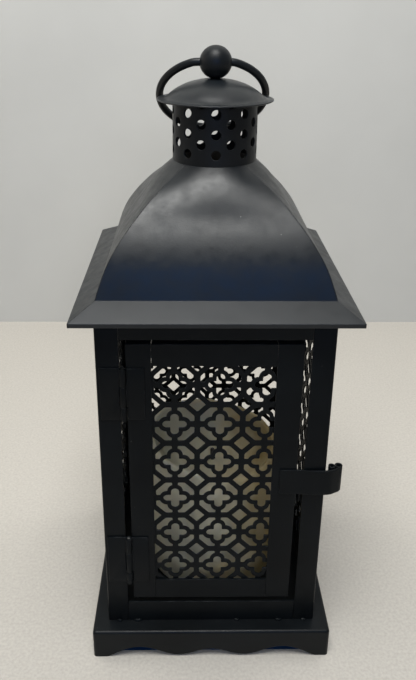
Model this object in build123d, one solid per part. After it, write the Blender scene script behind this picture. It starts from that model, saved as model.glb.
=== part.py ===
from build123d import *
import os
from math import asin, atan2, cos, pi, radians, sin, sqrt

# ---------------------------------------------------------------------------
# A square sheet-metal fretwork lantern: scalloped base tray, four angle posts,
# a hinged fret door, curved pyramid roof with an eave, pierced round chimney,
# domed cap, ball finial and a wire ring handle, with a battery pillar candle
# standing on the tray.  Millimetres, +Z up, door at -Y, +X on the right, origin
# at the centre of the footprint.  Heights are given above the deck (the upper
# face of the tray); save() lifts them so that the floor is at z = 0.
# ---------------------------------------------------------------------------

os.makedirs("parts", exist_ok=True)

BASE_HEIGHT = 17.5         # floor to deck
SHEET = 0.8                # tray, roof, cap and chimney sheet
SIDES = ("front", "right", "rear", "left")   # in quarter turns about +Z


def block(x0, x1, y0, y1, z0, z1):
    """Axis-aligned box between two corners."""
    return Pos((x0 + x1) / 2, (y0 + y1) / 2, (z0 + z1) / 2) * Box(x1 - x0, y1 - y0, z1 - z0)


def centred_block(half_x, half_y, z0, z1):
    """Box centred on the Z axis."""
    return block(-half_x, half_x, -half_y, half_y, z0, z1)


def rod(radius, z0, z1, x=0.0, y=0.0):
    """Upright cylinder."""
    return Pos(x, y, (z0 + z1) / 2) * Cylinder(radius, z1 - z0)


def save(name, *shapes, x=0.0, y=0.0):
    """Write one file, lifted from deck height to floor height and moved by x, y."""
    lift = Location((x, y, BASE_HEIGHT))
    solids = [solid.moved(lift) for shape in shapes for solid in shape.solids()]
    body = solids[0] if len(solids) == 1 else Compound(solids)
    export_step(body, f"parts/{name}.step")


def save_turned(shape, names):
    """Write four copies, each a quarter turn on from the last."""
    for i, name in enumerate(names):
        save(name, Rot(0, 0, 90 * i) * shape)


# ------------------------------ base tray ---------------------------------
BASE_HALF = 64.0           # half of the outside width
BASE_CORNER_R = 1.8        # outside radius of the upright corners
BASE_BEND_R = 1.6          # outside radius of the pressed top edge
ARCH_PEAK = 7.0            # height of the side arches above the floor
ARCH_MID = 5.4             # height of the small middle arch
ARCH_LOW = 1.3             # height of the drops between arches

# right half of the scalloped edge: distance from centre, height above the floor
SCALLOP = [
    (0, ARCH_MID), (5.5, ARCH_MID - 0.9), (11, ARCH_LOW + 1.2), (18, ARCH_LOW),
    (24.5, ARCH_LOW + 1.4), (31, ARCH_PEAK - 1.6), (39, ARCH_PEAK),
    (46, ARCH_PEAK - 1.5), (52, 2.4), (55, 0.7), (57.0, 0),
]


def rounded_tray_block(half, z0, z1, corner_r, bend_r):
    body = centred_block(half, half, z0, z1)
    body = fillet(body.edges().filter_by(Axis.Z), corner_r)
    return fillet(body.faces().sort_by(Axis.Z)[-1].edges(), bend_r)


def make_base_tray():
    floor = -BASE_HEIGHT
    outer = rounded_tray_block(BASE_HALF, floor, 0, BASE_CORNER_R, BASE_BEND_R)
    inner = rounded_tray_block(BASE_HALF - SHEET, floor - 1, -SHEET,
                               BASE_CORNER_R - SHEET, BASE_BEND_R - SHEET)
    tray = outer - inner
    # scalloped lower edge, the same on all four sides
    points = [(-x, floor + z) for x, z in reversed(SCALLOP)]
    points += [(x, floor + z) for x, z in SCALLOP[1:]]
    start, end = points[0], points[-1]
    low_start, low_end = (start[0], floor - 2), (end[0], floor - 2)
    face = make_face([Spline(*points), Line(end, low_end), Line(low_end, low_start),
                      Line(low_start, start)])
    cutter = extrude(Plane.XZ * face, amount=80, both=True)
    tray = tray - cutter
    return tray - Rot(0, 0, 90) * cutter


# ------------------------------ posts and rails ---------------------------
BODY_HALF = 56.0           # half of the outside width across the posts
FRONT_Y = -BODY_HALF       # outer face of the front
POST_LEG = 11.0            # leg width of the angle posts
POST_FOLD_R = 0.9
FRAME_T = 1.0              # thickness of posts, rails, stiles
POST_TOP = 189.25
RAIL_H = 13.2              # bottom rail height
HEADER_Z = 171.7           # underside of the top rails
SEAM = 0.12                # butt gap between frame strips


def make_corner_post():
    """Front left post."""
    corner = -BODY_HALF
    post = block(corner, corner + POST_LEG, corner, corner + FRAME_T, 0, POST_TOP) + \
        block(corner, corner + FRAME_T, corner, corner + POST_LEG, 0, POST_TOP)
    fold = [edge for edge in post.edges().filter_by(Axis.Z)
            if abs(edge.center().X - corner) < 1e-3 and abs(edge.center().Y - corner) < 1e-3]
    return fillet(fold, POST_FOLD_R)


def make_rail(z0, z1):
    """Front rail; the others are turned copies."""
    half = BODY_HALF - POST_LEG - SEAM
    return block(-half, half, FRONT_Y, FRONT_Y + FRAME_T, z0, z1)


# ------------------------------ pierced sheets ----------------------------
FRET_T = 0.8               # pierced sheet thickness
FRET_GAP = 0.05            # air between pierced sheet and frame strips
FRET_PITCH = 22.0
CELL_REACH = 0.27 * FRET_PITCH      # centre to point of the cell holes
CORNER_REACH = 0.19 * FRET_PITCH    # centre to point of the holes at cell corners
WALL_FRET_HALF = BODY_HALF - FRAME_T - 1.1
WALL_CELL_Z = 25.7         # lowest row of cell holes in the walls
SIDE_FRET_HALF = 52.8
REAR_FRET_SHIFT = 0.7
DOOR_FRET_X0, DOOR_FRET_X1 = -38.0, 39.0
DOOR_FRET_Z0, DOOR_FRET_Z1 = 20.5, 165.5
DOOR_CELL_X = 2.7          # middle column of cell holes in the door
DOOR_CELL_Z = 147.4        # top row of cell holes in the door


def diamond(reach):
    """Square hole outline standing on its point."""
    outline = Polyline((reach, 0), (0, reach), (-reach, 0), (0, -reach), (reach, 0))
    return Wire(outline.edges())


def pitches(start, steps):
    """Positions a number of lattice pitches from a start."""
    return [start + FRET_PITCH * i for i in steps]


def make_fret_sheet(x0, x1, z0, z1, cell_xs, cell_zs, corner_xs, corner_zs):
    """Pierced sheet, drawn flat and stood up just inside the front frame."""
    outline = Polyline((x0, z0), (x1, z0), (x1, z1), (x0, z1), (x0, z0))
    cell, corner = diamond(CELL_REACH), diamond(CORNER_REACH)
    holes = [cell.moved(Location((x, z, 0))) for x in cell_xs for z in cell_zs]
    holes += [corner.moved(Location((x, z, 0))) for x in corner_xs for z in corner_zs]
    sheet = extrude(Face(Wire(outline.edges()), holes), amount=FRET_T)
    upright = Plane(origin=(0, FRONT_Y + FRAME_T + FRET_GAP + FRET_T, 0),
                    x_dir=(1, 0, 0), z_dir=(0, -1, 0))
    return upright.location * sheet


def make_wall_fret():
    """Wall sheet, standing at the front before it is turned into place."""
    return make_fret_sheet(
        -WALL_FRET_HALF, WALL_FRET_HALF, 0.1, POST_TOP - 0.1,
        cell_xs=pitches(0, (-1.5, -0.5, 0.5, 1.5)),
        cell_zs=pitches(WALL_CELL_Z, range(7)),
        corner_xs=pitches(0, (-1, 0, 1, -2, 2)),
        corner_zs=pitches(WALL_CELL_Z - FRET_PITCH / 2, range(8)))


def make_door_fret():
    return make_fret_sheet(
        DOOR_FRET_X0, DOOR_FRET_X1, DOOR_FRET_Z0, DOOR_FRET_Z1,
        cell_xs=pitches(DOOR_CELL_X, (-1, 0, 1)),
        cell_zs=pitches(DOOR_CELL_Z, range(0, -6, -1)),
        corner_xs=pitches(DOOR_CELL_X, (-1.5, -0.5, 0.5)),
        corner_zs=pitches(DOOR_CELL_Z + FRET_PITCH / 2, range(0, -7, -1)))


# ------------------------------ roof --------------------------------------
TUBE_R = 20.7              # chimney, and the round neck of the roof under it
EAVE_HALF = 65.9           # half width at the eave edge
EAVE_Z = 184.65            # upper arris of the eave edge
HEM_DROP = 2.0             # folded-down hem
CREASE_HALF = 55.0         # half width where the roof meets the eave
CREASE_Z = 190.8
ROUNDING_Z = 221.0         # the plan starts turning from square to round here
ROOF_TOP_Z = 244.0
MAX_LEVEL_WALL = 1.15      # limit on the wall thickness measured level
QUARTER_BOW = 1 - 1 / sqrt(2)   # bow of a quarter circle over its radius
PANEL_OVERRUN = 1.1        # panels are drawn past the hips, then mitred
MITRE_SETBACK = 0.08       # each panel's mitre planes are moved this far outwards

# hip line: half width, height
HIP = [
    (CREASE_HALF, CREASE_Z), (53.3, 196.0), (51.2, 202.0), (48.0, 208.5), (43.2, 215.8),
    (38.0, 222.4), (31.5, 229.5), (24.0, 236.3), (16.3, 242.5),
    (TUBE_R / sqrt(2), ROOF_TOP_Z),
]
SECTION_HEIGHTS = [
    CREASE_Z, 194.5, 199.0, 204.0, 209.0, 214.0, 219.0,
    224.0, 228.5, 232.5, 236.0, 239.0, 241.5, ROOF_TOP_Z,
]


def hip_half_width(z):
    """Half width of the roof at a height, by cubics through HIP."""
    chords = [(g1 - g0) / (z1 - z0) for (g0, z0), (g1, z1) in zip(HIP, HIP[1:])]
    middle = [(below + above) / 2 for below, above in zip(chords, chords[1:])]
    slopes = [chords[0]] + middle + [chords[-1]]
    i = next(i for i in range(len(chords)) if z <= HIP[i + 1][1] + 1e-9)
    (g0, z0), (g1, z1) = HIP[i], HIP[i + 1]
    h = z1 - z0
    t = (z - z0) / h
    return ((2 * t ** 3 - 3 * t ** 2 + 1) * g0 + (t ** 3 - 2 * t ** 2 + t) * h * slopes[i]
            + (-2 * t ** 3 + 3 * t ** 2) * g1 + (t ** 3 - t ** 2) * h * slopes[i + 1])


def level_wall(z):
    """Thickness of the sloping sheet measured level."""
    above, below = min(z + 0.4, ROOF_TOP_Z), max(z - 0.4, CREASE_Z)
    slope = (hip_half_width(above) - hip_half_width(below)) / (above - below)
    return min(SHEET * sqrt(1 + slope * slope), MAX_LEVEL_WALL)


def roundness(z):
    """0 where the roof is square in plan, 1 at the round neck."""
    t = max(0.0, min(1.0, (z - ROUNDING_Z) / (ROOF_TOP_Z - ROUNDING_Z)))
    return t * t * (3 - 2 * t)


def bowed_edge(half, bow, z):
    """Plan outline of the front panel at one height: chord 2 * half, bowed by bow."""
    points = []
    for i in range(9):
        u = (-1 + i / 4) * PANEL_OVERRUN
        if bow < 1e-4:
            points.append((u * half, -half, z))
        else:
            radius = (half * half + bow * bow) / (2 * bow)
            angle = u * asin(half / radius)
            points.append((radius * sin(angle),
                           -(half + bow) + radius * (1 - cos(angle)), z))
    return points


def roof_section(z):
    """Closed outline of the front panel's sheet at one height."""
    half = hip_half_width(z)
    wall = level_wall(z)
    rounded = roundness(z)
    bow = TUBE_R * QUARTER_BOW * rounded
    inner_half = half - wall * (1 - QUARTER_BOW * rounded)
    inner_bow = (half + bow - wall) - inner_half
    outer = bowed_edge(half, bow, z)
    inner = bowed_edge(inner_half, inner_bow, z)
    sides = [Spline(*outer), Line(outer[-1], inner[-1]),
             Spline(*reversed(inner)), Line(inner[0], outer[0])]
    return Wire(sum([side.edges() for side in sides], ShapeList()))


def make_eave():
    """Sloping eave with its folded-down hem, longer than the panel."""
    fall = (CREASE_Z - EAVE_Z) / (EAVE_HALF - CREASE_HALF)
    drop = SHEET * sqrt(1 + fall * fall)
    hem_inner = EAVE_HALF - SHEET
    crease_inner = CREASE_HALF - level_wall(CREASE_Z)

    def underside(distance):
        return EAVE_Z + (EAVE_HALF - distance) * fall - drop

    profile = Polyline((EAVE_HALF, EAVE_Z), (EAVE_HALF, EAVE_Z - HEM_DROP),
                       (hem_inner, EAVE_Z - HEM_DROP), (hem_inner, underside(hem_inner)),
                       (crease_inner, underside(crease_inner)), (crease_inner, CREASE_Z),
                       (CREASE_HALF, CREASE_Z), (EAVE_HALF, EAVE_Z))
    # the profile lies in the plane x = 0, its first axis pointing to -Y
    plane = Plane(origin=(0, 0, 0), x_dir=(0, -1, 0), z_dir=(-1, 0, 0))
    return extrude(plane * make_face(profile), amount=EAVE_HALF + 4, both=True)


def make_roof_panel():
    """Front panel; the others are turned copies."""
    upper = Solid.make_loft([roof_section(z) for z in SECTION_HEIGHTS])
    reach = EAVE_HALF + 6
    wedge = extrude(Pos(0, -MITRE_SETBACK, EAVE_Z - 10) * make_face(
        Polyline((0, 0), (reach, -reach), (-reach, -reach), (0, 0))), amount=90)
    return (upper + make_eave()) & wedge


# ------------------------------ chimney and cap ---------------------------
VENT_R = 2.3
VENT_Z0 = 249.5            # lowest row of vents
VENT_ROW_PITCH = 4.7
VENT_ROWS = 6
VENTS_PER_ROW = 9
BRIM_R = 28.25
BRIM_Z = 273.3
BALL_SEAT_Z = 282.55       # top of the cap, where the ball sits
SCREW_CLEARANCE_R = 2.15   # screw hole in the cap and the washer

# upper face of the cap: radius, height
CAP = [
    (0.0, BALL_SEAT_Z), (5.0, 282.3), (10.0, 281.45), (15.0, 279.8), (19.0, 277.75),
    (22.0, 275.6), (23.9, 274.1), (25.4, 273.42), (26.8, BRIM_Z), (BRIM_R - 0.4, BRIM_Z),
]


def make_cap():
    outer = Spline(*CAP, tangents=((1, 0), (1, 0)))
    points = []
    for i in range(15):
        point, along = outer @ (i / 14), outer % (i / 14)
        points.append((point.X + along.Y * SHEET, point.Y - along.X * SHEET))
    points[0] = (0.0, points[0][1])      # exactly on the axis
    inner = Spline(*points, tangents=((1, 0), (1, 0)))
    rim = ThreePointArc(outer @ 1, (BRIM_R, BRIM_Z - SHEET / 2), inner @ 1)
    face = make_face([outer, rim, inner, Line(inner @ 0, outer @ 0)])
    cap = revolve(Plane.XZ * face, Axis.Z, 360)
    return cap - rod(SCREW_CLEARANCE_R, 270, 290)


def cap_underside(radius):
    """Underside height of the cap at a radius, a safe low estimate."""
    (r0, z0), (r1, z1) = next(
        (start, end) for start, end in zip(CAP, CAP[1:]) if start[0] <= radius <= end[0])
    return z0 + (z1 - z0) * (radius - r0) / (r1 - r0) - SHEET * 1.35


def make_chimney():
    top = cap_underside(TUBE_R)
    tube = rod(TUBE_R, ROOF_TOP_Z, top) - rod(TUBE_R - SHEET, ROOF_TOP_Z - 1, top + 1)
    step = 360 / VENTS_PER_ROW
    tools = []
    for row in range(VENT_ROWS):
        stagger = (row % 2) * step / 2
        z = VENT_Z0 + VENT_ROW_PITCH * row
        for i in range(VENTS_PER_ROW):
            tool = Pos(0, -TUBE_R, z) * (Rot(90, 0, 0) * Cylinder(VENT_R, 8))
            tools.append(Rot(0, 0, stagger + i * step) * tool)
    return tube - tools


# ------------------------------ finial and handle -------------------------
BALL_R = 7.8
BALL_Z = 290.0
WIRE_R = 1.9
WIRE_HOLE_R = 1.97
SCREW_BORE_R, SCREW_BORE_TOP = 2.05, 287.2
SHANK_R, SHANK_TOP = 2.0, 287.0
HEAD_R = 3.6
HEAD_Z0, HEAD_Z1 = 278.5, 280.65
WASHER_R = 4.5
WASHER_Z0, WASHER_Z1 = 280.7, 281.4
RING_R = 26.8              # radii of the ring and its bends are to the wire's centre
RING_SHIFT = -0.8          # the ring sits slightly to one side in the ball
RING_END_X = 2.0           # wire ends, either side of the middle
RING_BEND_X = 7.8
RING_BEND_R = 8.0
HANDLE_REST_DEG = 44.6     # swing towards the rear from hanging straight down


def make_ball():
    ball = Pos(0, 0, BALL_Z) * Sphere(BALL_R)
    ball = ball - centred_block(20, 20, BALL_Z - 20, BALL_SEAT_Z)
    ball = ball - Pos(0, 0, BALL_Z) * (Rot(0, 90, 0) * Cylinder(WIRE_HOLE_R, 30))
    return ball - rod(SCREW_BORE_R, BALL_SEAT_Z - 1, SCREW_BORE_TOP)


def make_finial_screw():
    head = rod(HEAD_R, HEAD_Z0, HEAD_Z1)
    head = fillet(head.faces().sort_by(Axis.Z)[0].edges(), 1.0)
    slot = centred_block(4, 0.45, HEAD_Z0 - 0.5, HEAD_Z0 + 1)
    return (head - slot) + rod(SHANK_R, HEAD_Z1, SHANK_TOP)


def make_finial_washer():
    return rod(WASHER_R, WASHER_Z0, WASHER_Z1) - rod(SCREW_CLEARANCE_R, 280, 282)


def make_handle():
    """Ring drawn hanging below the ball's cross hole, then swung to rest."""
    reach = RING_R - RING_BEND_R         # ring centre to bend centre
    depth = sqrt(reach ** 2 - RING_BEND_X ** 2) + RING_BEND_R    # hole to ring centre
    turn = atan2(RING_BEND_X, depth - RING_BEND_R)
    flank = (turn + pi) / 2

    def on_ring(angle):
        return RING_R * sin(angle), -depth + RING_R * cos(angle)

    def half_ring(side):
        """Straight end, bend and half the ring, on the +X or -X side."""
        def at(x, z):
            return (x * side, 0, z)

        bend_middle = at(RING_BEND_X + RING_BEND_R * sin(turn / 2),
                         -RING_BEND_R + RING_BEND_R * cos(turn / 2))
        bend_start, bend_end = at(RING_BEND_X, 0), at(*on_ring(turn))
        return [Line(at(RING_END_X, 0), bend_start),
                ThreePointArc(bend_start, bend_middle, bend_end),
                ThreePointArc(bend_end, at(*on_ring(flank)), (0, 0, -depth - RING_R))]

    curves = half_ring(1) + half_ring(-1)
    path = Wire(sum([curve.edges() for curve in curves], ShapeList()))
    profile = Plane(origin=(RING_END_X, 0, 0), z_dir=(1, 0, 0)) * Circle(WIRE_R)
    ring = sweep(profile, path=path)
    return Pos(RING_SHIFT, 0, BALL_Z) * (Rot(HANDLE_REST_DEG, 0, 0) * ring)


# ------------------------------ door --------------------------------------
DOOR_X0, DOOR_X1 = -41.8, 41.4
DOOR_Z0, DOOR_Z1 = 16.4, 169.5
WINDOW_X0, WINDOW_X1 = -30.0, 29.0
WINDOW_Z0, WINDOW_Z1 = 28.6, 158.1
DOOR_RETURN = 5.0          # depth of the folded outer edges
LATCH_Y = FRONT_Y - 0.42   # centre of the latch strip's thickness at the door
LATCH_HALF_T = 0.38
LATCH_Z = 85.3
LATCH_HEIGHT = 14.5

# centre line of the latch strip in plan: x, distance behind LATCH_Y
LATCH_LINE = [
    (33.0, 0), (37.5, 0), (41.4, 0), (44.5, -0.25), (48.5, -0.62), (52.5, -0.78),
    (56.5, -0.78), (58.6, -0.48), (60.6, 0.42), (62.4, 1.32), (63.6, 2.0),
]
# curls in plan: x, y, outer radius, inner radius
LATCH_CURLS = [(62.85, -52.75, 1.95, 1.2), (59.35, -53.1, 1.72, 1.0)]


def make_stile(x0, x1, fold_x0):
    """Upright strip, folded inwards at its outer edge, top and bottom."""
    face_y1, fold_y1 = FRONT_Y + FRAME_T, FRONT_Y + DOOR_RETURN
    return block(x0, x1, FRONT_Y, face_y1, DOOR_Z0, DOOR_Z1) + \
        block(fold_x0, fold_x0 + FRAME_T, FRONT_Y, fold_y1, DOOR_Z0, DOOR_Z1) + \
        block(x0, x1, FRONT_Y, fold_y1, DOOR_Z1 - FRAME_T, DOOR_Z1) + \
        block(x0, x1, FRONT_Y, fold_y1, DOOR_Z0, DOOR_Z0 + FRAME_T)


def make_door_rail(z0, z1, fold_z0):
    """Strip between the stiles with its outer edge folded inwards."""
    x0, x1 = WINDOW_X0 + SEAM, WINDOW_X1 - SEAM
    return block(x0, x1, FRONT_Y, FRONT_Y + FRAME_T, z0, z1) + \
        block(x0, x1, FRONT_Y, FRONT_Y + DOOR_RETURN, fold_z0, fold_z0 + FRAME_T)


def make_latch():
    """Spring strip that laps the corner post and ends in a double curl."""
    end_angle = radians(29)
    centre = Spline(*[(x, LATCH_Y + y) for x, y in LATCH_LINE],
                    tangents=((1, 0), (cos(end_angle), sin(end_angle))))

    def offset_line(offset):
        points = []
        for i in range(27):
            point, along = centre @ (i / 26), centre % (i / 26)
            points.append((point.X - along.Y * offset, point.Y + along.X * offset))
        return Spline(*points)

    inner, outer = offset_line(LATCH_HALF_T), offset_line(-LATCH_HALF_T)
    face = make_face([inner, Line(inner @ 1, outer @ 1), outer, Line(outer @ 0, inner @ 0)])
    for x, y, outer_r, inner_r in LATCH_CURLS:
        face = face + Pos(x, y) * (Circle(outer_r) - Circle(inner_r))
    return extrude(Pos(0, 0, LATCH_Z) * face, amount=LATCH_HEIGHT)


# ------------------------------ hinges ------------------------------------
HINGE_X, HINGE_Y = -43.4, -57.1
BARREL_R = 1.6
PIN_R = 0.75
LEAF_T = 0.7
LEAF_POST_X = -54.4        # far edge of the leaf on the post
LEAF_DOOR_X = -33.2        # far edge of the leaf on the door
LEAF_INSET = 0.4           # pin axis to the near edge of either leaf
KNUCKLE_GAP = 0.12
NOTCH_REACH = BARREL_R + 0.25   # pin axis to the edge of a leaf's notch
# heights of the knuckle ends, from the bottom up
HINGE_SPANS = {"upper": (129.0, 136.8, 147.9, 157.5),
               "lower": (28.0, 35.5, 48.3, 58.0)}


def make_hinge(z0, z1, z2, z3):
    """Butt hinge: outer knuckles on the post leaf, middle one on the door leaf."""
    gap = KNUCKLE_GAP / 2
    back_y, face_y = FRONT_Y, FRONT_Y - LEAF_T
    cut_y = (FRONT_Y - 5, FRONT_Y + 5)
    hole = rod(PIN_R + 0.05, z0 - 1, z3 + 1, HINGE_X, HINGE_Y)
    post = block(LEAF_POST_X, HINGE_X - LEAF_INSET, face_y, back_y, z0, z3)
    post = post - block(HINGE_X - NOTCH_REACH, HINGE_X + 5, *cut_y, z1 - gap, z2 + gap)
    for low, high in ((z0, z1 - gap), (z2 + gap, z3)):
        post = post + rod(BARREL_R, low, high, HINGE_X, HINGE_Y)
    post = post - hole
    door = block(HINGE_X + LEAF_INSET, LEAF_DOOR_X, face_y, back_y, z0 + 0.3, z3 - 0.3)
    for low, high in ((z0 - 1, z1 + gap), (z2 - gap, z3 + 1)):
        door = door - block(HINGE_X - 5, HINGE_X + NOTCH_REACH, *cut_y, low, high)
    door = door + rod(BARREL_R, z1 + gap, z2 - gap, HINGE_X, HINGE_Y)
    door = door - hole
    pin = rod(PIN_R, z0 + 0.2, z3 - 0.2, HINGE_X, HINGE_Y)
    return {"post_leaf": post, "door_leaf": door, "pin": pin}


# -------------------- candle, drawn about its own axis --------------------
CANDLE_X, CANDLE_Y = 1.4, 0.0
CANDLE_R = 38.0
WAX_WALL = 7.0
RIM_Z = 80.4               # height of the slanting rim on the axis
CORE_R = 30.9
CORE_Z0, CORE_TOP = 0.6, 34.0
CORE_WALL = 1.6
HATCH_X, HATCH_Y = 25.0, 19.0   # half sizes of the battery opening
HATCH_GAP = 0.15
SWITCH_Y = 24.0
BATTERY_R = 5.25
BATTERY_LENGTH = 43.6
BATTERY_X, BATTERY_Z = -0.6, 9.0
BATTERY_YS = (-11.6, 0.0, 11.6)
NUB_R, NUB_LENGTH = 1.9, 0.9
CONTACT_T = 0.4
SPRING_X, PLATE_X = -24.8, 22.3   # left faces of the contacts
LEAD_XS = (-1.27, 1.27)
LAMP_R = 2.5
LAMP_Z0, LAMP_Z1 = 37.2, 42.0


def make_wax_shell():
    wax = rod(CANDLE_R, 0, 95)
    wax = fillet(wax.faces().sort_by(Axis.Z)[0].edges(), 1.2)
    wax = wax - rod(CANDLE_R - WAX_WALL, -1, 36)      # bore for the core
    wax = wax - rod(12.0, 35, 56)                     # lamp well
    wax = wax - Pos(0, 0, 82) * Cone(22.0, 34.4, 36)  # melted dish
    wax = wax - rod(1.3, 50, 70)                      # wick hole
    rim = Plane(origin=(0, 0, RIM_Z), z_dir=(0.11, -0.046, 1.0))
    return wax - extrude(rim * Rectangle(140, 140), amount=60)


def make_core_housing():
    """Closed drum, cut open below for the battery door."""
    core = rod(CORE_R, CORE_Z0, CORE_TOP) - rod(CORE_R - CORE_WALL, 2.4, CORE_TOP - CORE_WALL)
    core = core - centred_block(HATCH_X, HATCH_Y, 0, 3)
    core = core - block(-6, 6, SWITCH_Y - 2, SWITCH_Y + 2, 0, 3)   # switch slot
    return core - rod(2.6, 30, 36)                                 # lamp leads


def make_battery_door():
    door = centred_block(HATCH_X - HATCH_GAP, HATCH_Y - HATCH_GAP, 0.7, 2.2)
    return fillet(door.edges().filter_by(Axis.Z), 0.8)


def make_switch_slider():
    """Stem under a wider plate, with four grooves across the stem's lower face."""
    slider = block(-3, 3, SWITCH_Y - 1.8, SWITCH_Y + 1.8, 0.3, 2.6) + \
        block(-7.5, 7.5, SWITCH_Y - 2.6, SWITCH_Y + 2.6, 2.6, 3.8)
    grooves = [block(x - 0.3, x + 0.3, SWITCH_Y - 2, SWITCH_Y + 2, 0.2, 0.6)
               for x in (-2.0, -0.7, 0.6, 1.9)]
    return slider - grooves


def make_battery(y):
    lying = Rot(0, 90, 0)
    nub_x = BATTERY_X + (BATTERY_LENGTH + NUB_LENGTH) / 2
    return Pos(BATTERY_X, y, BATTERY_Z) * (lying * Cylinder(BATTERY_R, BATTERY_LENGTH)) + \
        Pos(nub_x, y, BATTERY_Z) * (lying * Cylinder(NUB_R, NUB_LENGTH))


def make_contact_plate(x, y):
    return block(x, x + CONTACT_T, y - 3.6, y + 3.6, BATTERY_Z - 4.4, BATTERY_Z + 4.4)


def make_contact_spring(y):
    """Contact plate with a flat tongue towards the battery."""
    return make_contact_plate(SPRING_X, y) + \
        block(SPRING_X + CONTACT_T, -22.6, y - 1.5, y + 1.5, BATTERY_Z - 0.4, BATTERY_Z)


def make_circuit_board():
    board = centred_block(14, 9, 20.0, 21.2)
    for x in LEAD_XS:
        board = board - rod(0.45, 19, 22, x)
    return board


def make_led_lamp():
    lamp = rod(LAMP_R, LAMP_Z0, LAMP_Z1) + Pos(0, 0, LAMP_Z1) * Sphere(LAMP_R)
    lamp = lamp + rod(2.9, LAMP_Z0 - 1, LAMP_Z0)
    for x in LEAD_XS:
        lamp = lamp + rod(0.25, 18.6, 36.4, x)
    return lamp


def make_wick():
    wick = rod(1.2, 56.5, 71.5)
    return fillet(wick.faces().sort_by(Axis.Z)[-1].edges(), 0.6)


def make_candle():
    """Lists of shapes by part name."""
    return {
        "wax_shell": [make_wax_shell()],
        "core_housing": [make_core_housing()],
        "battery_door": [make_battery_door()],
        "switch_slider": [make_switch_slider()],
        "batteries": [make_battery(y) for y in BATTERY_YS],
        "contact_springs": [make_contact_spring(y) for y in BATTERY_YS],
        "contact_plates": [make_contact_plate(PLATE_X, y) for y in BATTERY_YS],
        "circuit_board": [make_circuit_board()],
        "led_lamp": [make_led_lamp()],
        "wick": [make_wick()],
    }


# ------------------------------ write everything --------------------------
save("base_tray", make_base_tray())
save_turned(make_corner_post(), [f"corner_post_{corner}" for corner in
                                 ("front_left", "front_right", "rear_right", "rear_left")])
save_turned(make_rail(0, RAIL_H), [f"{side}_bottom_rail" for side in SIDES])
save_turned(make_rail(HEADER_Z, POST_TOP),
            ["front_header_rail"] + [f"{side}_top_rail" for side in SIDES[1:]])

wall_fret = make_wall_fret()
# the half turn carries this shift towards -X
save("rear_fret_panel", Rot(0, 0, 180) * (Pos(REAR_FRET_SHIFT, 0, 0) * wall_fret))
# side sheets are narrower, to clear the rear one at the corners
side_fret = wall_fret & block(-SIDE_FRET_HALF, SIDE_FRET_HALF, -60, -50, -1, 200)
save("right_fret_panel", Rot(0, 0, 90) * side_fret)
save("left_fret_panel", Rot(0, 0, 270) * side_fret)

save_turned(make_roof_panel(), [f"roof_panel_{side}" for side in SIDES])
save("chimney_tube", make_chimney())
save("cap_lid", make_cap())
save("finial_ball", make_ball())
save("finial_screw", make_finial_screw())
save("finial_washer", make_finial_washer())
save("handle_ring", make_handle())

save("door_left_stile", make_stile(DOOR_X0, WINDOW_X0, DOOR_X0))
save("door_right_stile", make_stile(WINDOW_X1, DOOR_X1, DOOR_X1 - FRAME_T))
save("door_top_rail", make_door_rail(WINDOW_Z1, DOOR_Z1, DOOR_Z1 - FRAME_T))
save("door_bottom_rail", make_door_rail(DOOR_Z0, WINDOW_Z0, DOOR_Z0))
save("door_fret_panel", make_door_fret())
save("latch_clip", make_latch())

for which, span in HINGE_SPANS.items():
    for part, shape in make_hinge(*span).items():
        save(f"{which}_hinge_{part}", shape)

for part, shapes in make_candle().items():
    save(f"candle_{part}", *shapes, x=CANDLE_X, y=CANDLE_Y)
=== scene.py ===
"""Square black lantern with pierced fretwork sides and a battery candle inside.

It stands on the floor at z = 0, upright along +Z, with its door facing the camera on
the -Y side and its right side towards +X. Fretwork, wax outline and bead places are
in millimetres and are scaled by MM; everything else is in metres.
"""
import bpy, bmesh
from math import sin, cos, pi, radians, degrees, sqrt, atan2
from mathutils import Matrix, Vector


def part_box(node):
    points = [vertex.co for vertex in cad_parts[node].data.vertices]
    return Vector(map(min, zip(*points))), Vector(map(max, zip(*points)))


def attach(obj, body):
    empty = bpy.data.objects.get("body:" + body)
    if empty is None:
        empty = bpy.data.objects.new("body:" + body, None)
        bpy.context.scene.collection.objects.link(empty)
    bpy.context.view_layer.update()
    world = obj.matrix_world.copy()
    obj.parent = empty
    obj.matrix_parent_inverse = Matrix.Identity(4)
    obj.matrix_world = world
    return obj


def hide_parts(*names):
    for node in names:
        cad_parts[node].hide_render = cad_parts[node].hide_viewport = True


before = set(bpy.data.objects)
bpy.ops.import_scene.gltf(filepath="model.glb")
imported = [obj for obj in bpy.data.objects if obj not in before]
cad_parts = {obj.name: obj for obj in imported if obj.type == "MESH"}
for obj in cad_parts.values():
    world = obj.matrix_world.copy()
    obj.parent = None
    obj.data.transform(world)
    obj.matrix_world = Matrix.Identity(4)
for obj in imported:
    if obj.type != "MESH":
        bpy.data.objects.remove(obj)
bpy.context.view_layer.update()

MM = 0.001
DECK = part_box("corner_post_front_left")[0].z          # upper face of the tray


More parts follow.
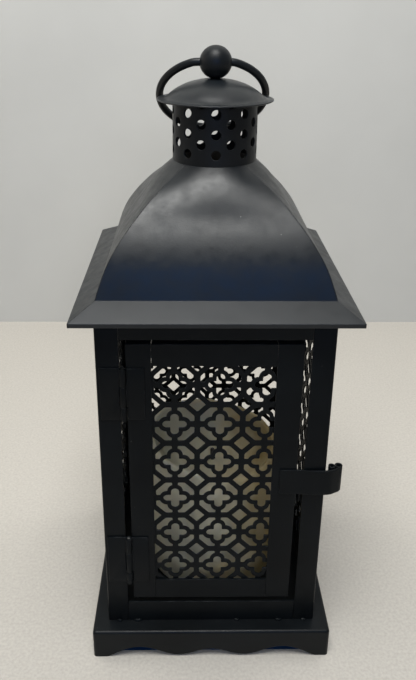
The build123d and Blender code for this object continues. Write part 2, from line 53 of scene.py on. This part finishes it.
# ----------------------------------------------------------- shader tools ---
class Shader:
    """A material being built around one Principled BSDF."""

    def __init__(self, name):
        self.material = bpy.data.materials.new(name)
        self.material.use_nodes = True
        self.tree = self.material.node_tree
        self.tree.nodes.clear()
        output = self.node("OutputMaterial")
        self.bsdf = self.node("BsdfPrincipled")
        self.feed(output, {0: self.bsdf.outputs[0]})
        self.coordinates = None

    def node(self, kind, inputs=None, **settings):
        made = self.tree.nodes.new("ShaderNode" + kind)
        for key, value in settings.items():
            setattr(made, key, value)
        self.feed(made, inputs or {})
        return made

    def feed(self, node, inputs):
        """Link a socket to each input, or set its number or its RGB colour."""
        for key, value in inputs.items():
            if isinstance(value, bpy.types.NodeSocket):
                self.tree.links.new(value, node.inputs[key])
            elif isinstance(value, tuple):
                node.inputs[key].default_value = (*value, 1)
            else:
                node.inputs[key].default_value = value

    def surface(self, **inputs):
        """Feed the BSDF; underscores stand for the spaces in its input names."""
        self.feed(self.bsdf, {key.replace("_", " "): value for key, value in inputs.items()})

    def place(self):
        """Object coordinates, made on first use."""
        if self.coordinates is None:
            self.coordinates = self.node("TexCoord").outputs["Object"]
        return self.coordinates

    def noise(self, scale, detail=3.0, roughness=0.55):
        return self.node("TexNoise", {"Scale": scale, "Detail": detail, "Roughness": roughness,
                                      "Vector": self.place()}).outputs[0]

    def ramp(self, source, *stops):
        """Stops are (position, grey level or RGB colour)."""
        made = self.node("ValToRGB", {0: source})
        elements = made.color_ramp.elements
        while len(elements) < len(stops):
            elements.new(0.5)
        for element, (position, color) in zip(elements, stops):
            element.position = position
            element.color = (*color, 1) if isinstance(color, tuple) else (color, color, color, 1)
        return made.outputs[0]

    def mix(self, factor, first, second, mode="MIX"):
        return self.node("Mix", {0: factor, 6: first, 7: second},
                         data_type="RGBA", blend_type=mode).outputs[2]

    def bump(self, height, strength, distance, normal=None):
        inputs = {"Strength": strength, "Distance": distance, "Height": height}
        if normal:
            inputs["Normal"] = normal
        return self.node("Bump", inputs).outputs[0]


def scaled(color, factor):
    return tuple(c * factor for c in color)


# ----------------------------------------------------------- materials ------
def dust_specks(shader, amount):
    """Mask of small dots, let through in patches."""
    cells = shader.node("TexVoronoi", {"Scale": 150, "Vector": shader.place()})
    dots = shader.ramp(cells.outputs["Distance"], (0.0, 1.0), (0.035, 0.8), (0.05, 0.0))
    patches = shader.ramp(shader.noise(scale=60, detail=2), (0.56, 0.0), (0.63, amount))
    return shader.mix(1.0, dots, patches, "MULTIPLY")


def edge_wear_and_highlight(shader, rounded_normal, patchy):
    """Mask of rubbed edges, also used as painted highlights along edges, found where the rounded
    normal leaves the true one.
    """
    geometry = shader.node("NewGeometry")
    agreement = shader.node("VectorMath", {0: rounded_normal, 1: geometry.outputs["Normal"]},
                            operation="DOT_PRODUCT")
    edges = shader.ramp(agreement.outputs["Value"], (0.80, 1.0), (0.97, 0.0))
    patches = shader.ramp(patchy, (0.48, 0.0), (0.66, 0.55))
    return shader.mix(1.0, edges, patches, "MULTIPLY")


def black_coat(name, base, rough, specular, peel=0.10, dust=0.5, worn_and_highlit=(0.10, 0.10, 0.105)):
    """Satin black powder coat: orange peel, patchy gloss, dust specks, rubbed edges lightened
    partly as painted edge highlights.
    """
    shader = Shader(name)
    cloudy = shader.noise(scale=28, detail=4)
    grain = shader.noise(scale=1500, detail=2)
    patchy = shader.noise(scale=170, detail=5, roughness=0.65)
    tone = shader.ramp(cloudy, (0.35, scaled(base, 0.8)), (0.65, scaled(base, 1.25)))
    dusty = shader.mix(dust_specks(shader, dust), tone, (0.16, 0.155, 0.15))
    bevel = shader.node("Bevel", {"Radius": 0.0005}, samples=4).outputs[0]
    # Lighter edge colour: partly real rubbing, partly a painted highlight along the edges.
    wear_and_highlight_mask = edge_wear_and_highlight(shader, bevel, patchy)
    orange_peel = shader.bump(grain, strength=peel, distance=0.0002, normal=bevel)
    waviness = shader.bump(shader.noise(scale=34, detail=1.5), strength=0.12, distance=0.0012,
                           normal=orange_peel)
    shader.surface(Base_Color=shader.mix(wear_and_highlight_mask, dusty, worn_and_highlit),
                   Roughness=shader.ramp(patchy, (0.3, rough - 0.07), (0.7, rough + 0.09)),
                   Specular_IOR_Level=specular,
                   Normal=waviness)
    return shader.material


def plain(name, base, rough, metal=0.0, scale=400, vary=0.15, bump=0.1, coat=0.0):
    """One colour varied by noise, with uneven gloss and a fine bump."""
    shader = Shader(name)
    grain = shader.noise(scale=scale, detail=4)
    light = tuple(min(c, 1) for c in scaled(base, 1 + vary))
    color = shader.ramp(grain, (0.3, scaled(base, 1 - vary)), (0.7, light))
    gloss = shader.ramp(shader.noise(scale=scale * 0.3, detail=3),
                        (0.3, max(rough - 0.08, 0.02)), (0.7, rough + 0.08))
    shader.surface(Base_Color=color, Roughness=gloss, Metallic=metal, Coat_Weight=coat,
                   Normal=shader.bump(grain, strength=bump, distance=0.0002))
    return shader.material


def ivory_wax():
    """Ivory wax, darker and more ochre towards +X."""
    shader = Shader("wax_ivory")
    axes = shader.node("SeparateXYZ", {0: shader.place()})
    cloudy = shader.noise(scale=45, detail=5)
    grain = shader.noise(scale=900, detail=3)
    across = shader.node("Math", {0: axes.outputs[0], 1: 14.0, 2: cloudy},
                         operation="MULTIPLY_ADD")
    color = shader.ramp(across.outputs[0], (0.42, (0.52, 0.50, 0.385)),
                        (0.66, (0.52, 0.465, 0.31)), (0.98, (0.42, 0.32, 0.135)))
    shader.surface(Base_Color=color,
                   Roughness=shader.ramp(cloudy, (0.3, 0.42), (0.7, 0.6)),
                   Subsurface_Weight=0.25,
                   Subsurface_Scale=1.0,
                   Normal=shader.bump(grain, strength=0.2, distance=0.0006))
    shader.bsdf.inputs["Subsurface Radius"].default_value = (0.006, 0.004, 0.002)
    return shader.material


# Its lighter edge colour is partly a painted highlight on top edges, such as the latch and hinge
# leaves.
PAINT = black_coat("satin_black_coat", base=(0.0030, 0.0040, 0.0048), rough=0.36,
                   specular=0.085, worn_and_highlit=(0.11, 0.115, 0.12))
ROOF = black_coat("satin_black_roof", base=(0.0050, 0.0066, 0.0082), rough=0.36,
                  specular=0.36, peel=0.12, dust=0.9)
# Its much lighter edge colour is mostly a painted highlight along the tray's top front edge,
# partly rubbed edges.
FOOT = black_coat("satin_black_foot", base=(0.0036, 0.0046, 0.0054), rough=0.36,
                  specular=0.15, dust=0.7, worn_and_highlit=(0.30, 0.305, 0.31))
TRIM = black_coat("satin_black_turned", base=(0.0050, 0.0062, 0.0074), rough=0.40,
                  specular=0.22, peel=0.08, dust=0.3)
WAX = ivory_wax()
ZINC = plain("zinc_plate", base=(0.55, 0.55, 0.56), rough=0.3, metal=1.0, scale=250)
IVORY = plain("ivory_plastic", base=(0.72, 0.68, 0.57), rough=0.45, scale=600, vary=0.05)
BLACK_PLASTIC = plain("black_plastic", base=(0.02, 0.02, 0.02), rough=0.45, scale=700)
CELL = plain("cell_film", base=(0.10, 0.11, 0.13), rough=0.25, scale=300, coat=0.5)
BOARD = plain("solder_mask", base=(0.03, 0.2, 0.08), rough=0.35, scale=500)
LENS = plain("amber_lens", base=(0.9, 0.65, 0.3), rough=0.12, scale=200, vary=0.05)

PIECE_MATERIALS = {
    "cap_lid": ROOF,
    "base_tray": FOOT,
    "handle_ring": TRIM,
    "finial_ball": TRIM,
    "chimney_tube": TRIM,
    "finial_screw": ZINC,
    "finial_washer": ZINC,
    "candle_wax_shell": WAX,
    "candle_batteries": CELL,
    "candle_core_housing": IVORY,
    "candle_battery_door": IVORY,
    "candle_switch_slider": BLACK_PLASTIC,
    "candle_wick": BLACK_PLASTIC,
    "candle_circuit_board": BOARD,
    "candle_led_lamp": LENS,
    "candle_contact_springs": ZINC,
    "candle_contact_plates": ZINC,
}


def material_of(piece):
    if piece.startswith("roof_panel"):
        return ROOF
    if piece.endswith("hinge_pin"):
        return ZINC
    return PIECE_MATERIALS.get(piece, PAINT)


# ----------------------------------------------------------- object tools ---
def smooth(mesh):
    for polygon in mesh.polygons:
        polygon.use_smooth = True


def split_creases(ob, angle):
    ob.modifiers.new("crease", "EDGE_SPLIT").split_angle = radians(angle)


def dress(ob, material):
    ob.data.materials.clear()
    ob.data.materials.append(material)


def add_object(name, data, material=None):
    ob = bpy.data.objects.new(name, data)
    bpy.context.scene.collection.objects.link(ob)
    if material:
        dress(ob, material)
    return ob


def mesh_from(bm, name):
    mesh = bpy.data.meshes.new(name)
    bm.to_mesh(mesh)
    bm.free()
    return mesh


# ----------------------------------------------------------- CAD pieces -----
SHARP_EDGED = ("corner_post", "rail", "stile", "hinge_post_leaf", "hinge_door_leaf", "latch_clip")


def finish_piece(name, ob):
    """Material, smooth shading and softened edges for one CAD piece."""
    dress(ob, material_of(name))
    ob.modifiers.new("weld", "WELD").merge_threshold = 2e-6
    smooth(ob.data)
    if any(part in name for part in SHARP_EDGED):
        bevel = ob.modifiers.new("edge", "BEVEL")
        bevel.width = 0.00022
        bevel.segments = 2
        bevel.limit_method = "ANGLE"
        bevel.angle_limit = radians(50)
    split_creases(ob, angle=26)


for piece_name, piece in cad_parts.items():
    finish_piece(piece_name, piece)

# ----------------------------------------------------------- fretwork -------
# Each square cell has a quatrefoil in the middle and four slots around it;
# a small diamond sits where cell corners meet. Outlines are centred on 0, 0.
PITCH = 22.0                     # cell to cell
LOBE_OFFSET = 0.178 * PITCH      # cell centre to lobe centre
LOBE_RADIUS = 0.092 * PITCH
LOBE_FILLET = 0.35               # inner corner between two lobes
RING_RADIUS = 0.182 * PITCH      # slot edge, concentric with a lobe
STRAP_HALF = 0.065 * PITCH       # half width of the strap along a cell axis
SLOT_REACH = 0.436 * PITCH       # outer side of a slot
SLOT_DIAGONAL = 0.654 * PITCH    # x + y along the slot's cut corner
SLOT_ROUNDING = 0.75
DIAMOND_REACH = 0.19 * PITCH
DIAMOND_ROUNDING = 0.7
SHEET_HALF = 0.00034             # metres, half the sheet without its edge bevel
SHEET_BEVEL = 0.00006            # metres


def arc(center_x, center_y, radius, start, end, steps):
    """Points from the start to the end angle, in degrees."""
    angles = [radians(start + (end - start) * i / steps) for i in range(steps + 1)]
    return [(center_x + radius * cos(a), center_y + radius * sin(a)) for a in angles]


def turn(points, quarters):
    c, s = round(cos(quarters * pi / 2)), round(sin(quarters * pi / 2))
    return [(c * x - s * y, s * x + c * y) for x, y in points]


def soften(points, rounding, limit=28):
    """Round the corners of a closed outline that turn by the limit, in degrees, or more."""
    outline = []
    for i in range(len(points)):
        corner = Vector(points[i])
        back = Vector(points[i - 1]) - corner
        ahead = Vector(points[(i + 1) % len(points)]) - corner
        if 180 - degrees(back.angle(ahead)) < limit:
            outline.append(tuple(corner))
            continue
        cut = min(rounding, 0.45 * back.length, 0.45 * ahead.length)
        start = corner + back.normalized() * cut
        end = corner + ahead.normalized() * cut
        for k in range(5):
            t = k / 4
            outline.append(tuple(start * (1 - t) ** 2 + corner * 2 * t * (1 - t) + end * t * t))
    return outline


def quatrefoil():
    fillet_center = LOBE_RADIUS + LOBE_FILLET
    lobe = (arc(LOBE_OFFSET, 0, LOBE_RADIUS, -90, 90, 10)
            + arc(fillet_center, fillet_center, LOBE_FILLET, 270, 180, 3))
    return [point for k in range(4) for point in turn(lobe, k)]


def corner_slot():
    """Slot in the +x +y quarter of a cell, mirrored about the line x = y."""
    end = degrees(atan2(STRAP_HALF, sqrt(RING_RADIUS ** 2 - STRAP_HALF ** 2)))
    # Where the ring crosses the line x = y
    spread = 4 * LOBE_OFFSET ** 2 - 8 * (LOBE_OFFSET ** 2 - RING_RADIUS ** 2)
    crossing = (2 * LOBE_OFFSET + sqrt(spread)) / 4
    middle = degrees(atan2(crossing, crossing - LOBE_OFFSET))
    lower = arc(LOBE_OFFSET, 0, RING_RADIUS, middle, end, 7)
    upper = [(y, x) for x, y in reversed(lower)]
    cut = SLOT_DIAGONAL - SLOT_REACH
    outer = [(SLOT_REACH, STRAP_HALF), (SLOT_REACH, cut), (cut, SLOT_REACH),
             (STRAP_HALF, SLOT_REACH)]
    return soften(lower + outer + upper[:-1], SLOT_ROUNDING)


def diamond():
    return soften(turn([(DIAMOND_REACH, 0)], 0) + turn([(DIAMOND_REACH, 0)], 1)
                  + turn([(DIAMOND_REACH, 0)], 2) + turn([(DIAMOND_REACH, 0)], 3),
                  DIAMOND_ROUNDING)


SLOT = corner_slot()
CELL_HOLES = [quatrefoil()] + [turn(SLOT, k) for k in range(4)]
CORNER_HOLES = [diamond()]


def add_loop(curve, points):
    spline = curve.splines.new("POLY")
    spline.points.add(len(points) - 1)
    for point, (x, y) in zip(spline.points, points):
        point.co = (x, y, 0, 1)
    spline.use_cyclic_u = True


def add_holes(curve, holes, columns, rows, row_step):
    """Repeat the holes over a grid; columns and rows are (first place, count)."""
    for i in range(columns[1]):
        for j in range(rows[1]):
            across, height = columns[0] + PITCH * i, rows[0] + row_step * j
            for hole in holes:
                add_loop(curve, [(across * MM + x * MM, height * MM + y * MM) for x, y in hole])


def mesh_of_curve(curve):
    holder = add_object(curve.name + "_tmp", curve)
    depsgraph = bpy.context.evaluated_depsgraph_get()
    mesh = bpy.data.meshes.new_from_object(holder.evaluated_get(depsgraph))
    bpy.data.objects.remove(holder)
    return mesh


def fret(name, node, body, facing, columns, rows, corner_columns, row_step=PITCH):
    """Pierced sheet in place of a CAD sheet; facing is the axis it looks along."""
    low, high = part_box(node)
    curve = bpy.data.curves.new(name, "CURVE")
    curve.dimensions = "2D"
    curve.fill_mode = "BOTH"
    curve.extrude = SHEET_HALF
    curve.bevel_depth = SHEET_BEVEL
    curve.offset = -SHEET_BEVEL
    curve.bevel_resolution = 1

    middle = (low + high) / 2
    if facing == "y":
        left, right = low.x, high.x
        stand = Matrix(((1, 0, 0, 0), (0, 0, -1, middle.y), (0, 1, 0, 0), (0, 0, 0, 1)))
    else:
        left, right = low.y, high.y
        stand = Matrix(((0, 0, 1, middle.x), (1, 0, 0, 0), (0, 1, 0, 0), (0, 0, 0, 1)))
    add_loop(curve, [(left, low.z), (right, low.z), (right, high.z), (left, high.z)])
    add_holes(curve, CELL_HOLES, columns, rows, row_step)
    add_holes(curve, CORNER_HOLES, (columns[0] - PITCH / 2, corner_columns),
              (rows[0] - row_step / 2, rows[1] + 1), row_step)

    mesh = mesh_of_curve(curve)
    mesh.transform(stand)
    bm = bmesh.new()
    bm.from_mesh(mesh)
    bmesh.ops.remove_doubles(bm, verts=bm.verts, dist=1e-6)
    bmesh.ops.recalc_face_normals(bm, faces=bm.faces)
    bm.to_mesh(mesh)
    bm.free()
    ob = add_object(name, mesh, PAINT)
    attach(ob, body)
    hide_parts(node)


DECK_MM = DECK / MM
WALL_ROWS = (25.7 + DECK_MM, 7)
# The door's rows are counted from the top down.
fret("door_fretwork", "door_fret_panel", "door", "y", columns=(2.7 - PITCH, 3),
     rows=(147.4 + DECK_MM, 6), corner_columns=3, row_step=-PITCH)
fret("rear_fretwork", "rear_fret_panel", "lantern_frame", "y", columns=(-33.7, 4),
     rows=WALL_ROWS, corner_columns=5)
for side in ("left", "right"):
    fret(side + "_fretwork", side + "_fret_panel", "lantern_frame", "x", columns=(-33.0, 4),
         rows=WALL_ROWS, corner_columns=5)

# ----------------------------------------------------------- candle ---------
WAX_SEGMENTS = 144
WAX_RADIUS = 37.9
CORE_RADIUS = 31.0
LAMP_RADIUS = 12.0
WICK_RADIUS = 1.4
# Sunken top: radius, share of the melt wobble in it, height, height ripple, ripple count
WAX_POOL = [
    (WICK_RADIUS, 0, 64.4, 0, 0), (8, 0, 64.3, 0.2, 4), (18, 0, 64.6, 0.3, 5),
    (25, 0, 65.4, 0.3, 5), (29, 0.4, 67.2, 0, 0), (31.4, 0.7, 70.2, 0, 0),
    (32.8, 0.8, 73.0, 0, 0),
]
# Lip: radius, share of the melt wobble in it, height from the rim
WAX_LIP = [
    (33.6, 0.6, -2.4), (34.4, 0.4, -0.7), (35.5, 0.2, 0),
    (36.7, 0, -0.15), (37.6, 0, -0.9), (WAX_RADIUS, 0, -2.4),
]
WAX_SIDE_HEIGHTS = (70, 60, 50, 40, 30, 20, 10, 3)
# Foot and the stepped hollow inside: radius, height
WAX_HOLLOW = [
    (37.7, 1.0), (37.0, 0.25), (36.0, 0.0), (31.4, 0.0), (CORE_RADIUS, 0.4),
    (CORE_RADIUS, 36.0), (LAMP_RADIUS, 36.0), (LAMP_RADIUS, 56.0), (WICK_RADIUS, 56.0),
]


def rim_height(a):
    """Uneven rim, sloping down to the right and up to the rear."""
    x, y = 38 * cos(a), 38 * sin(a)
    return (80.2 - 0.108 * x + 0.046 * y + 0.55 * sin(3 * a + 0.7) + 0.4 * sin(7 * a + 2.1)
            + 0.22 * sin(13 * a))


def melt(a):
    return 0.5 * sin(5 * a + 1.0) + 0.3 * sin(11 * a)


def make_wax():
    low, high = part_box("candle_wax_shell")
    center_x, center_y = (low.x + high.x) / 2 / MM, (low.y + high.y) / 2 / MM
    bottom = low.z / MM
    bm = bmesh.new()
    rings = []

    def ring(radius_at, height_at):
        verts = []
        for i in range(WAX_SEGMENTS):
            a = 2 * pi * i / WAX_SEGMENTS
            r = radius_at(a)
            verts.append(bm.verts.new(((center_x + r * cos(a)) * MM,
                                       (center_y + r * sin(a)) * MM,
                                       (bottom + height_at(a)) * MM)))
        rings.append(verts)

    for radius, share, height, ripple, count in WAX_POOL:
        ring(lambda a: radius + share * melt(a), lambda a: height + ripple * sin(count * a))
    for radius, share, rise in WAX_LIP:
        ring(lambda a: radius + share * melt(a), lambda a: rim_height(a) + rise)
    for height in WAX_SIDE_HEIGHTS:
        ring(lambda a: WAX_RADIUS + 0.06 * sin(9 * a + height), lambda a: height)
    for radius, height in WAX_HOLLOW:
        ring(lambda a: radius, lambda a: height)
    rings.append(rings[0])

    for here, following in zip(rings, rings[1:]):
        for i in range(WAX_SEGMENTS):
            j = (i + 1) % WAX_SEGMENTS
            bm.faces.new((here[i], here[j], following[j], following[i]))
    bmesh.ops.recalc_face_normals(bm, faces=bm.faces)
    mesh = mesh_from(bm, "candle_wax")
    smooth(mesh)
    ob = add_object("candle_wax", mesh, WAX)
    split_creases(ob, angle=50)
    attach(ob, "candle")
    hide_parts("candle_wax_shell")


make_wax()

# ----------------------------------------------------------- weld beads -----
# Place along the rail in millimetres, size factor
FRONT_BEADS = ((-50.0, 1.0), (-40.0, 1.3), (14.0, 1.0), (37.0, 1.1), (50.5, 1.0))
SIDE_BEADS = ((-49.0, 1.0), (-12.0, 1.2), (20.0, 1.0), (48.0, 1.0))
BEAD_LENGTH, BEAD_DEPTH, BEAD_HEIGHT = 0.0016, 0.0009, 0.0008     # radii
BEAD_GAP = 0.0002                # bead centre beyond the rail face and above the deck
BEAD_REACH = BEAD_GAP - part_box("front_bottom_rail")[0].y


def bead(name, x, y, radius_x, radius_y, size, seed):
    """Lumpy blob with a flattened underside."""
    bm = bmesh.new()
    bmesh.ops.create_icosphere(bm, subdivisions=3, radius=1.0)
    for vert in bm.verts:
        x0, y0, z0 = vert.co
        lump = (1 + 0.16 * sin(3.1 * x0 + seed) * cos(2.3 * y0 + 1.7 * seed)
                + 0.08 * sin(7 * z0 + seed))
        vert.co = Vector((x0 * radius_x * lump, y0 * radius_y * lump,
                          max(z0, -0.25) * BEAD_HEIGHT * size * lump))
    mesh = mesh_from(bm, name)
    mesh.transform(Matrix.Translation((x, y, DECK + BEAD_GAP)))
    smooth(mesh)
    ob = add_object(name, mesh, PAINT)
    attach(ob, "lantern_frame")


for i, (along, size) in enumerate(FRONT_BEADS):
    for face, sign, seed in (("front", 1, i + 1.0), ("rear", -1, i + 3.0)):
        bead("weld_bead_%s_%d" % (face, i), sign * along * MM, -sign * BEAD_REACH,
             BEAD_LENGTH * size, BEAD_DEPTH, size, seed)
for i, (along, size) in enumerate(SIDE_BEADS):
    for k, sign in enumerate((-1, 1)):
        bead("weld_bead_side_%d_%d" % (k, i), sign * BEAD_REACH, along * MM,
             BEAD_DEPTH, BEAD_LENGTH * size, size, seed=i + 5.0 + k)

# ----------------------------------------------------------- stage ----------
STAGE_HALF = 2.5
WALL_Y = 0.352
WALL_TOP = 1.6
# Card lying under the lantern: painted shade, tinted blue, for the shadowed floor seen through
# the base's arches.
SHADE_CARD_X, SHADE_CARD_Y, SHADE_CARD_Z = 0.060, 0.0605, 0.0003      # half sizes and height


def plane(name, corners, material):
    mesh = bpy.data.meshes.new(name)
    mesh.from_pydata(corners, [], [(0, 1, 2, 3)])
    add_object(name, mesh, material)


def clear_from_behind(material):
    """Let the camera see the lantern's back through the wall."""
    tree = material.node_tree
    geometry = tree.nodes.new("ShaderNodeNewGeometry")
    clear = tree.nodes.new("ShaderNodeBsdfTransparent")
    blend = tree.nodes.new("ShaderNodeMixShader")
    tree.links.new(geometry.outputs["Backfacing"], blend.inputs[0])
    tree.links.new(tree.nodes["Principled BSDF"].outputs[0], blend.inputs[1])
    tree.links.new(clear.outputs[0], blend.inputs[2])
    tree.links.new(blend.outputs[0], tree.nodes["Material Output"].inputs[0])


# Dark navy colour: painted shade, tinted blue, of the floor under the base.
def painted_shade_card():
    shader = Shader("painted_shade_card")
    shader.surface(Base_Color=(0.006, 0.03, 0.085), Roughness=0.6)
    return shader.material


floor_pale = plain("floor_pale", base=(0.385, 0.365, 0.33), rough=0.75, scale=620, vary=0.10)
wall_pale = plain("wall_pale", base=(0.47, 0.47, 0.45), rough=0.7, scale=6, vary=0.05, bump=0.0)
clear_from_behind(wall_pale)
plane("floor", [(-STAGE_HALF, -STAGE_HALF, 0), (STAGE_HALF, -STAGE_HALF, 0),
                (STAGE_HALF, WALL_Y, 0), (-STAGE_HALF, WALL_Y, 0)], floor_pale)
plane("backdrop", [(-STAGE_HALF, WALL_Y, 0), (STAGE_HALF, WALL_Y, 0),
                   (STAGE_HALF, WALL_Y, WALL_TOP), (-STAGE_HALF, WALL_Y, WALL_TOP)], wall_pale)
# Painted shade card on the floor under the base.
plane("under_shade_card", [(-SHADE_CARD_X, -SHADE_CARD_Y, SHADE_CARD_Z), (SHADE_CARD_X, -SHADE_CARD_Y, SHADE_CARD_Z),
                     (SHADE_CARD_X, SHADE_CARD_Y, SHADE_CARD_Z), (-SHADE_CARD_X, SHADE_CARD_Y, SHADE_CARD_Z)], painted_shade_card())


# ----------------------------------------------------------- lights ---------
def area(name, location, target, size, power, color, size_y=None, glossy=True):
    """Area light aimed at a target; without gloss it leaves no highlight on the paint."""
    light = bpy.data.lights.new(name, "AREA")
    light.energy = power
    light.color = color
    light.shape = "RECTANGLE"
    light.size = size
    light.size_y = size_y or size
    ob = add_object(name, light)
    ob.location = location
    aim = Vector(target) - Vector(location)
    ob.rotation_euler = aim.to_track_quat("-Z", "Y").to_euler()
    ob.visible_glossy = glossy


area("top_soft", location=(-0.08, -0.36, 1.30), target=(0, 0.04, 0.1), size=0.62,
     power=17.5, color=(0.985, 0.985, 0.96))
area("front_fill", location=(0.1, -1.25, 0.75), target=(0, 0, 0.09), size=0.35,
     power=4.4, color=(1.0, 0.97, 0.92), glossy=False)
area("wall_wash", location=(0.0, -0.25, 1.25), target=(0, WALL_Y, 0.45), size=0.9,
     size_y=0.3, power=1.2, color=(1.0, 1.0, 0.98), glossy=False)
for side, x in (("right", 0.55), ("left", -0.55)):
    area("rear_" + side, location=(x, 0.22, 0.95), target=(0, 0, 0.1), size=0.35,
         power=3.2, color=(1.0, 0.98, 0.95), glossy=False)
area("rear_glint", location=(0.20, 0.28, 1.1), target=(0, 0, 0.2), size=0.4,
     power=0.35, color=(1.0, 0.99, 0.97))
area("navy_front", location=(0.02, -0.85, 0.50), target=(0, 0, 0.22), size=0.50,
     size_y=0.42, power=2.3, color=(0.010, 0.12, 0.40))
area("warm_left", location=(-0.9, 0.0, 0.55), target=(0, 0, 0.2), size=0.5,
     power=0.8, color=(1.0, 0.86, 0.7))

world = bpy.data.worlds.new("studio")
bpy.context.scene.world = world
world.use_nodes = True
background = world.node_tree.nodes["Background"]
background.inputs["Color"].default_value = (0.93, 0.96, 1.0, 1)
background.inputs["Strength"].default_value = 0.17

# ----------------------------------------------------------- camera ---------
CAMERA_PLACE = (-0.0118869, -0.3367929, 0.3352245)
YAW, PITCH_DOWN, ROLL = 0.0171130635, 0.367747855, 0.00835087     # radians


def make_camera():
    forward = Vector((sin(YAW) * cos(PITCH_DOWN), cos(YAW) * cos(PITCH_DOWN), -sin(PITCH_DOWN)))
    level = Vector((cos(YAW), -sin(YAW), 0))
    up = level.cross(forward)
    rolled_right = level * cos(ROLL) + up * sin(ROLL)
    rolled_up = level * -sin(ROLL) + up * cos(ROLL)
    camera = bpy.data.cameras.new("camera")
    camera.sensor_width = 36
    camera.sensor_fit = "AUTO"
    camera.lens = 36.3075882
    camera.shift_x = 0.0100147059
    camera.shift_y = -0.112867647
    camera.clip_start = 0.01
    ob = add_object("camera", camera)
    pose = Matrix((rolled_right, rolled_up, -forward)).transposed().to_4x4()
    pose.translation = Vector(CAMERA_PLACE)
    ob.matrix_world = pose
    bpy.context.scene.camera = ob


make_camera()
bpy.context.scene.view_settings.view_transform = "Standard"
